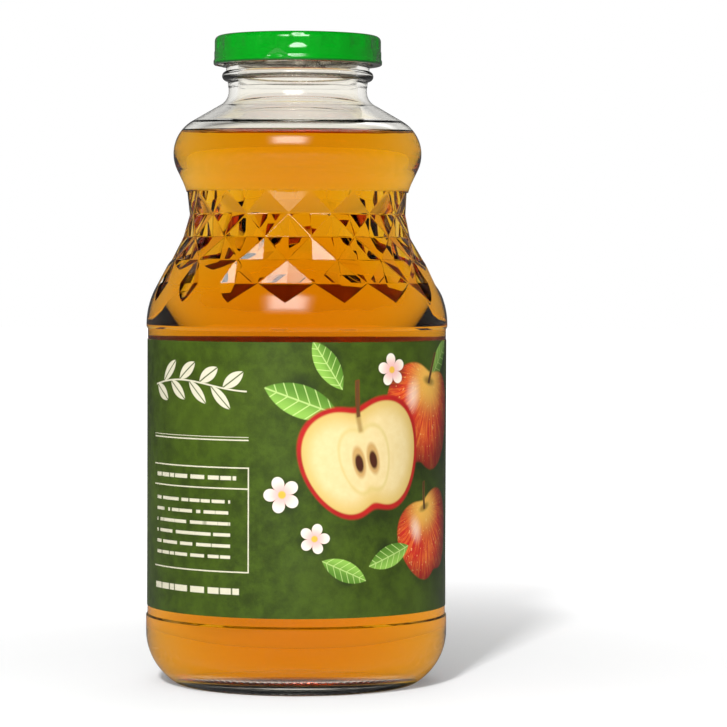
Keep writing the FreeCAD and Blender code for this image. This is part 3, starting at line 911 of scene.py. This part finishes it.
# %% Group: the outline of an apple
wires, given, result = new_group(
    "apple_outline", {"X": 0.0, "Y": 0.0}, {"Distance": "Float"}
)
x, y = given["X"], given["Y"]
lean = wires.times(wires.size(x), wires.times(y, 0.16))
x_lean = wires.size(wires.minus(wires.size(x), lean))
left = length_from(wires, x_lean, y, 0.34, 0.0, 1.28)
right = length_from(wires, x_lean, y, -0.34, 0.0, 1.28)
joined = wires.add("ShaderNodeMath", {0: left, 1: right, 2: 0.22}, operation="SMOOTH_MIN").outputs[0]
wires.join(wires.minus(joined, 0.64), result["Distance"])
apple_outline = wires.tree

# %% [markdown]
# The cut half is laid down like paint, from the back to the front: flesh that yellows
# towards the skin, the line of the core, the two seed rooms with their seeds, the skin
# and the stem. Folding x at the middle draws both seeds at once.

# %% Group: an apple cut in half
wires, given, result = new_group(
    "cut_apple", {"X": 0.0, "Y": 0.0, "Place": None}, {"Colour": "Color", "Mask": "Float"}
)
x, y = given["X"], given["Y"]
edge = wires.use(apple_outline, {"X": x, "Y": y})["Distance"]
grain = wires.noise(given["Place"], 420.0, 3.0)
flesh = wires.mix(grain, colour(230, 212, 160), colour(220, 194, 132))
flesh = wires.mix(wires.fade(edge, -0.3, -0.04), flesh, colour(210, 178, 98))
core_x = wires.times(x, 2.5)
core_y = wires.times(wires.plus(y, 0.02), 1.75)
core = wires.use(apple_outline, {"X": core_x, "Y": core_y})["Distance"]
core_line = within(wires, wires.size(core), 0.04, 0.05)
flesh = wires.mix(wires.times(core_line, 0.55), flesh, colour(206, 184, 104))
mirror_x = wires.size(x)
room = length_from(wires, mirror_x, y, 0.115, -0.03, 2.3)
flesh = wires.mix(within(wires, room, 0.1, 0.02), flesh, colour(196, 156, 92))
seed = length_from(wires, mirror_x, y, 0.115, -0.05, 2.1)
flesh = wires.mix(within(wires, seed, 0.062, 0.015), flesh, colour(74, 32, 14))
cleft = bar_mask(wires, x, y, 0.0, 0.62, 0.035, 0.24, 0.03)
flesh = wires.mix(wires.times(cleft, 0.7), flesh, colour(150, 116, 52))
skin = wires.mix(wires.noise(given["Place"], 160.0), colour(196, 28, 20), colour(150, 14, 16))
picture = wires.mix(wires.fade(edge, -0.075, -0.045), flesh, skin)
stem_bow = wires.minus(x, wires.times(wires.times(y, y), 0.1))
stem = bar_mask(wires, stem_bow, y, -0.03, 0.86, 0.03, 0.26, 0.015)
picture = wires.mix(stem, picture, colour(98, 62, 28))
mask = either(wires, within(wires, edge, 0.0), stem)
wires.fill(result, {"Colour": picture, "Mask": mask})
cut_apple = wires.tree

# %% [markdown]
# The whole apple gets its form from colour alone: streaks that run from the dip round the
# stem, a yellow blush there, pale freckles, a dark far side and one soft gleam.

# %% Group: a whole apple
wires, given, result = new_group(
    "whole_apple", {"X": 0.0, "Y": 0.0, "Place": None}, {"Colour": "Color", "Mask": "Float"}
)
x, y = given["X"], given["Y"]
edge = wires.use(apple_outline, {"X": x, "Y": y})["Distance"]
dip_y = wires.minus(y, 0.62)
spread = wires.calc("ARCTAN2", x, dip_y)
reach = length_from(wires, x, y, 0.0, 0.62)
streak_place = wires.add("ShaderNodeCombineXYZ", {0: wires.times(spread, 9.0), 1: reach})
streaks = wires.noise(streak_place.outputs[0], 1.6, 4.0, 0.7)
skin = wires.mix(wires.fade(streaks, 0.42, 0.66), colour(206, 30, 18), colour(240, 122, 40))
blush = wires.fade(reach, 0.75, 0.15)
skin = wires.mix(wires.times(blush, 0.85), skin, colour(246, 196, 84))
freckle = wires.fade(wires.noise(given["Place"], 900.0, 1.0), 0.66, 0.72)
skin = wires.mix(wires.times(freckle, 0.5), skin, colour(252, 214, 130))
shade = wires.fade(length_from(wires, x, y, -0.18, 0.22), 0.55, 1.15)
skin = wires.mix(wires.times(shade, 0.75), skin, colour(92, 10, 10))
gleam = within(wires, length_from(wires, x, y, -0.42, 0.28, 1.6), 0.12, 0.12)
skin = wires.mix(wires.times(gleam, 0.6), skin, colour(255, 236, 214))
hollow = within(wires, length_from(wires, x, y, 0.0, 0.6, 0.4), 0.16, 0.1)
skin = wires.mix(wires.times(hollow, 0.7), skin, colour(104, 82, 20))
stem_bow = wires.minus(x, wires.times(wires.times(y, y), 0.16))
stem = bar_mask(wires, stem_bow, y, -0.06, 0.83, 0.035, 0.27, 0.015)
picture = wires.mix(stem, skin, colour(88, 54, 24))
mask = either(wires, within(wires, edge, 0.0), stem)
wires.fill(result, {"Colour": picture, "Mask": mask})
whole_apple = wires.tree

# %% [markdown]
# A leaf is where two large discs overlap, with ribs slanting off its middle. A blossom is
# a disc whose rim swells five times round, from a cosine of the angle.

# %% Group: a leaf
wires, given, result = new_group(
    "leaf", {"X": 0.0, "Y": 0.0}, {"Colour": "Color", "Mask": "Float"}
)
x, y = given["X"], given["Y"]
upper = length_from(wires, x, y, 0.0, -1.0)
lower = length_from(wires, x, y, 0.0, 1.0)
mask = both(wires, within(wires, upper, 1.4), within(wires, lower, 1.4))
slant = wires.minus(wires.times(x, 9.0), wires.times(wires.size(y), 7.0))
ribs = wires.fade(wires.calc("SINE", wires.times(slant, 2.4)), 0.86, 1.0)
middle = within(wires, wires.size(y), 0.018, 0.015)
tone = wires.mix(wires.fade(y, -0.3, 0.35), colour(84, 130, 36), colour(136, 184, 72))
tone = wires.mix(wires.times(either(wires, ribs, middle), 0.55), tone, colour(214, 236, 150))
wires.fill(result, {"Colour": tone, "Mask": mask})
leaf = wires.tree

# %% Group: a blossom
wires, given, result = new_group(
    "blossom", {"X": 0.0, "Y": 0.0}, {"Colour": "Color", "Mask": "Float"}
)
x, y = given["X"], given["Y"]
spread = wires.calc("ARCTAN2", x, y)
reach = length_from(wires, x, y, 0.0, 0.0)
lobes = wires.size(wires.calc("COSINE", wires.times(spread, 2.5)))
rim = wires.plus(wires.times(wires.calc("POWER", lobes, 0.6), 0.55), 0.4)
mask = wires.fade(wires.minus(reach, rim), -0.03, 0.03, 1.0, 0.0)
tone = wires.mix(wires.fade(reach, 0.2, 0.95), colour(230, 180, 174), colour(238, 228, 212))
tone = wires.mix(wires.fade(lobes, 0.3, 0.0), tone, colour(222, 176, 168))
tone = wires.mix(within(wires, reach, 0.2, 0.05), tone, colour(226, 176, 60))
wires.fill(result, {"Colour": tone, "Mask": mask})
blossom = wires.tree

# %% [markdown]
# ## Laying the print out
# The strip is printed flat, so the motifs are placed by millimetres along it, 0 at the
# front of the bottle, and by millimetres up from its lower edge. Each one first drops a
# soft shadow on the green, and is then laid over it.

# %% Finish of the label: the green ground
surface, wires = new_material("printed_paper", label)
place = wires.place()
spot = wires.use(round_place, {"Place": place})
printed = wires.calc("GREATER_THAN", spot["Radius"], sunk_radius + 0.5 * paper)
along = wires.times(spot["Angle"], (sunk_radius + paper) / MM)
up = wires.ratio(wires.minus(spot["Height"], label_low.z), MM)
mottle = wires.noise(place, 190.0, 5.0, 0.7)
cloud = wires.noise(place, 22.0, 2.0)
field = wires.mix(wires.fade(mottle, 0.3, 0.7), colour(46, 62, 4), colour(66, 88, 10))
cloudy = wires.times(wires.fade(cloud, 0.45, 0.75), 0.4)
field = wires.mix(cloudy, field, colour(82, 104, 22))

# %% Fruit, leaves and blossom: group, along, up, size and turn of each
MOTIFS = [
    (leaf, 1.5, 66.5, 12.5, 160.0),
    (leaf, 9.5, 77.5, 9.0, 122.0),
    (leaf, 58.0, 79.0, 9.0, 40.0),
    (whole_apple, 47.5, 61.0, 19.0, -12.0),
    (whole_apple, 50.0, 24.0, 15.5, 18.0),
    (leaf, 31.0, 18.5, 8.5, -160.0),
    (cut_apple, 22.0, 49.0, 21.5, 12.0),
    (blossom, -4.5, 38.0, 6.0, 20.0),
    (blossom, 5.5, 24.5, 5.0, -16.0),
    (leaf, 15.0, 14.5, 8.0, -24.0),
    (blossom, 31.5, 76.0, 5.4, 8.0),
    (leaf, 96.0, 60.0, 11.0, 140.0),
    (cut_apple, 112.0, 46.0, 17.0, -10.0),
    (blossom, 93.0, 30.0, 6.0, 0.0),
]
for group, centre_along, centre_up, size, turn in MOTIFS:
    values = {"Along": along, "Up": up, "Centre Along": centre_along, "Centre Up": centre_up}
    values.update({"Size": size, "Turn": turn})
    inner = wires.use(motif_frame, values)
    gap = length_from(wires, inner["X"], inner["Y"], 0.1, -0.16)
    wide = 0.55 if group is leaf else 1.0
    shadow = wires.fade(gap, 0.45 * wide, 1.2 * wide, 0.6, 0.0)
    field = wires.mix(shadow, field, colour(26, 36, 10))
    values = {"X": inner["X"], "Y": inner["Y"]}
    if group in (cut_apple, whole_apple):
        values["Place"] = place
    drawn = wires.use(group, values)
    field = wires.mix(drawn["Mask"], field, drawn["Colour"])
print("motifs on the label: %d" % len(MOTIFS))

# %% [markdown]
# Where the lettering would stand, a frame of thin rules holds rows of dashes about as long
# as words. One row is drawn and repeated upwards, with another piece of noise for each
# row, because a node for every dash would make the material too large to render.

# %% Rules: middle along, middle up, half length and half height of each
RULES = [
    (-36.0, 46.0, 21.0, 0.2), (-36.0, 39.6, 21.0, 0.2), (-15.0, 30.0, 0.2, 16.2),
    (-36.0, 14.0, 21.0, 0.2), (-36.0, 54.5, 21.0, 0.2), (-36.0, 55.4, 21.0, 0.1),
    (-113.0, 64.0, 14.0, 0.25), (140.0, 40.0, 0.3, 32.0),
]
pale = 0.0
for rule in RULES:
    pale = either(wires, pale, bar_mask(wires, along, up, *rule, 0.1))
print("rules on the label: %d" % len(RULES))


# %% Rows of word-long dashes
def dash_rows(centre_along, low, high, half_long, pitch, half_high):
    """Rows of word-long dashes between two heights, all from one repeating row."""
    rows_up = wires.ratio(wires.minus(up, low), pitch)
    row = wires.calc("FLOOR", rows_up)
    off = wires.times(wires.minus(wires.calc("FRACT", rows_up), 0.5), pitch)
    run = wires.add("ShaderNodeCombineXYZ", {0: along, 1: wires.times(row, 7.3)})
    words = wires.fade(wires.noise(run.outputs[0], 0.42, 0.0), 0.36, 0.4)
    middle, half = (low + high) / 2, (high - low) / 2
    block = bar_mask(wires, along, up, centre_along, middle, half_long, half, 0.1)
    line = within(wires, wires.size(off), half_high, 0.12)
    return both(wires, block, both(wires, line, words))


DASHES = [
    (-37.0, 41.0, 44.6, 18.0, 3.6, 0.62), (-38.0, 16.8, 37.2, 17.0, 3.4, 0.5),
    (-37.0, 6.0, 10.0, 19.0, 4.0, 0.95), (-113.0, 12.0, 61.0, 13.0, 3.5, 0.4),
]
for block in DASHES:
    pale = either(wires, pale, dash_rows(*block))
print("blocks of dashes: %d" % len(DASHES))

# %% [markdown]
# A branch stands where a name would be. It is drawn in the same way as the dashes: one
# leaf, repeated along a gently bowed line, once above it and once below, half a step on.

# %% A branch with paired leaves in the same pale ink
bow = wires.times(wires.calc("SINE", wires.times(along, 0.115)), 1.6)
branch_up = wires.minus(up, bow)
branch_height = 71.0
leaf_pitch = 8.8
for side, start in ((1, -51.0), (-1, -55.4)):
    middle = start + 2 * leaf_pitch
    on_branch = bar_mask(wires, along, branch_up, middle, branch_height, 17.4, 8.0, 0.05)
    cells = wires.ratio(wires.minus(along, start), leaf_pitch)
    local = wires.times(wires.minus(wires.calc("FRACT", cells), 0.5), leaf_pitch)
    values = {"Along": local, "Up": branch_up, "Centre Up": branch_height + side * 3.1}
    inner = wires.use(motif_frame, {**values, "Size": 4.7, "Turn": side * 40.0})
    vein = within(wires, wires.size(inner["Y"]), 0.04, 0.03)
    shape = wires.use(leaf, {"X": inner["X"], "Y": inner["Y"]})["Mask"]
    shape = both(wires, shape, on_branch)
    pale = either(wires, pale, wires.times(shape, wires.minus(1.0, vein)))
twig = bar_mask(wires, along, branch_up, -35.6, branch_height, 20.0, 0.24, 0.12)
pale = either(wires, pale, twig)
ink = wires.mix(mottle, colour(204, 198, 172), colour(216, 211, 188))
field = wires.mix(pale, field, ink)
print("leaf pairs on the branch every %.1f mm" % leaf_pitch)

# %% [markdown]
# Only the outer face is printed. The inner face, seen through the juice from behind, and
# the cut edges are bare paper, so the print is laid over it by radius. Coated paper has a
# low sheen, a fine tooth and slight ripples where the glue has pulled it.

# %% Paper, sheen and tooth
fibre = wires.noise(place, 220.0, 3.0)
bare_paper = wires.mix(fibre, colour(206, 200, 184), colour(226, 222, 208))
both_sides = wires.mix(printed, bare_paper, field)
dull = wires.use(handling_marks, {"Place": place, "Size": 0.03, "Clean": 0.38, "Dull": 0.55})
tooth = wires.noise(place, 1800.0, 2.0, 0.6)
ripple = wires.times(wires.noise(wires.stretch(place, (1.0, 1.0, 0.3)), 60.0, 1.0), 4.0)
relief = wires.bump(wires.plus(tooth, ripple), 0.03 * MM)
wires.fill(surface, {"Base Color": both_sides, "Roughness": dull["Roughness"], "Normal": relief})
print("the print takes %d nodes" % len(wires.tree.nodes))

# %% [markdown]
# ## The white studio
# The bottle stands on a white floor in a white room. The white is what the floor and the
# world show to the camera, not strong light, so the lamps can stay low and the colours
# are kept. Near the bottle the floor gives less of it, so that the shadow is seen. Glass
# shows what is round it: for light that has passed through the bottle or is mirrored by
# it, the floor is greyer and the room darkens overhead, which draws the dark lines in the
# diamonds and along the edges.

# %% The floor
bpy.ops.object.select_all(action="DESELECT")
bpy.ops.mesh.primitive_plane_add(size=12.0)
floor = bpy.context.active_object
floor.name = "floor"
surface, wires = new_material("white_floor", floor)
path = wires.add("ShaderNodeLightPath").outputs
plain_floor = wires.mix(path["Is Glossy Ray"], grey(0.8), grey(0.25))
plain_floor = wires.mix(path["Is Transmission Ray"], plain_floor, grey(0.3))
spot = wires.use(round_place, {"Place": wires.place()})
# painted shade: the glow is weaker near the bottle, darkening the floor round its foot and deepening
# its shadow
lift = wires.fade(spot["Radius"], 0.06, 0.6, 0.17, 1.0)
glow = wires.times(path["Is Camera Ray"], lift)
glow_through_glass = 0.76
glow = wires.plus(glow, wires.times(path["Is Transmission Ray"], glow_through_glass))
wires.fill(surface, {"Base Color": plain_floor, "Roughness": 0.9, "Specular IOR Level": 0.0})
wires.fill(surface, {"Emission Color": grey(1.0), "Emission Strength": glow})

# %% The world
world = bpy.data.worlds.new("studio")
bpy.context.scene.world = world
world.use_nodes = True
wires = Wiring(world.node_tree)
background = world.node_tree.nodes["Background"]
path = wires.add("ShaderNodeLightPath").outputs
direction = wires.add("ShaderNodeTexCoord").outputs["Generated"]
parts = wires.add("ShaderNodeSeparateXYZ", {0: direction}).outputs
sides = wires.fade(parts["Z"], 0.26, 0.75, 1.0, 0.13)
behind = wires.fade(parts["Y"], -0.3, 0.6, 0.05, 0.1)
through = wires.times(path["Is Transmission Ray"], sides)
mirrored = wires.times(path["Is Glossy Ray"], wires.times(sides, behind))
bright = either(wires, path["Is Camera Ray"], either(wires, through, mirrored))
room_light = 0.33
plain = wires.times(path["Is Diffuse Ray"], room_light)
strength = either(wires, bright, plain)
wires.fill(background.inputs, {"Color": grey(1.0), "Strength": strength})
print("the world has %d nodes" % len(world.node_tree.nodes))

# %% [markdown]
# A small lamp gives the shadow its edge, large ones soften it from the front and behind,
# and one more adds only a glint to the glass and the lacquer. Each lamp is strongest in
# its middle and fades out towards its edges, because a hard edge would be mirrored as a
# pane on the shoulder.

# %% The lamps
LAMP_REACH = 1.3
MIDDLE_STRENGTH = 2.2


def lamp(name, azimuth, elevation, size, watts, mirrored):
    """A square or oblong soft lamp that faces the middle of the bottle."""
    data = bpy.data.lights.new(name, "AREA")
    data.shape = "RECTANGLE"
    data.size, data.size_y = size
    data.energy = watts
    data.use_nodes = True
    wires = Wiring(data.node_tree)
    across = wires.add("ShaderNodeNewGeometry").outputs["Parametric"]
    parts = wires.add("ShaderNodeSeparateXYZ", {0: across})
    cover = MIDDLE_STRENGTH
    for axis in ("X", "Y"):
        off = wires.size(wires.minus(parts.outputs[axis], 0.5))
        cover = wires.times(cover, wires.fade(off, 0.2, 0.5, 1.0, 0.0))
    wires.join(cover, data.node_tree.nodes["Emission"].inputs["Strength"])
    piece = bpy.data.objects.new(name, data)
    bpy.context.scene.collection.objects.link(piece)
    turn = math.radians(azimuth)
    lift = math.radians(elevation)
    level = math.cos(lift)
    out = Vector((math.sin(turn) * level, -math.cos(turn) * level, math.sin(lift)))
    middle = Vector((0, 0, (cap_high.z + glass_low.z) / 2))
    piece.location = middle + out * LAMP_REACH
    piece.rotation_euler = out.to_track_quat("Z", "Y").to_euler()
    piece.visible_camera = False
    piece.visible_glossy = mirrored
    print("%s: %.1f W" % (name, watts))
    return piece


lamp("key_lamp", -12.5, 31.0, (0.16, 0.16), 15.5, False)
lamp("soft_panel", -8.0, 33.0, (1.0, 0.8), 3.6, True)
lamp("back_fill", 165.0, 50.0, (1.1, 1.1), 2.2, False)
glint = lamp("glint_panel", -8.0, 34.0, (0.8, 0.6), 4.5, True)
glint.visible_diffuse = False

# %% [markdown]
# Light that enters the bottle crosses glass, juice, juice and glass again, lights the
# inside of the label, and comes out the same way. That is more crossings than the usual
# limit allows, and where the limit is met the picture turns black, so it is raised.

# %% Let light cross all the layers
bpy.context.scene.cycles.max_bounces = 24
bpy.context.scene.cycles.transmission_bounces = 24
print("bounces:", bpy.context.scene.cycles.max_bounces)

# %% [markdown]
# ## The camera
# A long lens about a metre away keeps the sides of the bottle nearly upright and shows
# the cap and the foot almost edge on. The camera stands between the heights of the label
# and the waist and looks down by less than two degrees. It is turned a little, to leave
# room for the shadow at the right.

# %% Camera
camera_data = bpy.data.cameras.new("camera")
camera = bpy.data.objects.new("camera", camera_data)
bpy.context.scene.collection.objects.link(camera)
bpy.context.scene.camera = camera
camera_data.sensor_width = 36.0
camera_data.lens = 159.2
camera.location = (0.0, -1.027, 0.132)
look_down, roll, pan = math.radians(1.69), math.radians(-0.2), math.radians(-1.18)
camera.rotation_euler = (math.radians(90.0) - look_down, roll, pan)
bpy.context.scene.view_settings.view_transform = "Standard"
print("camera at", tuple(round(part, 3) for part in camera.location))
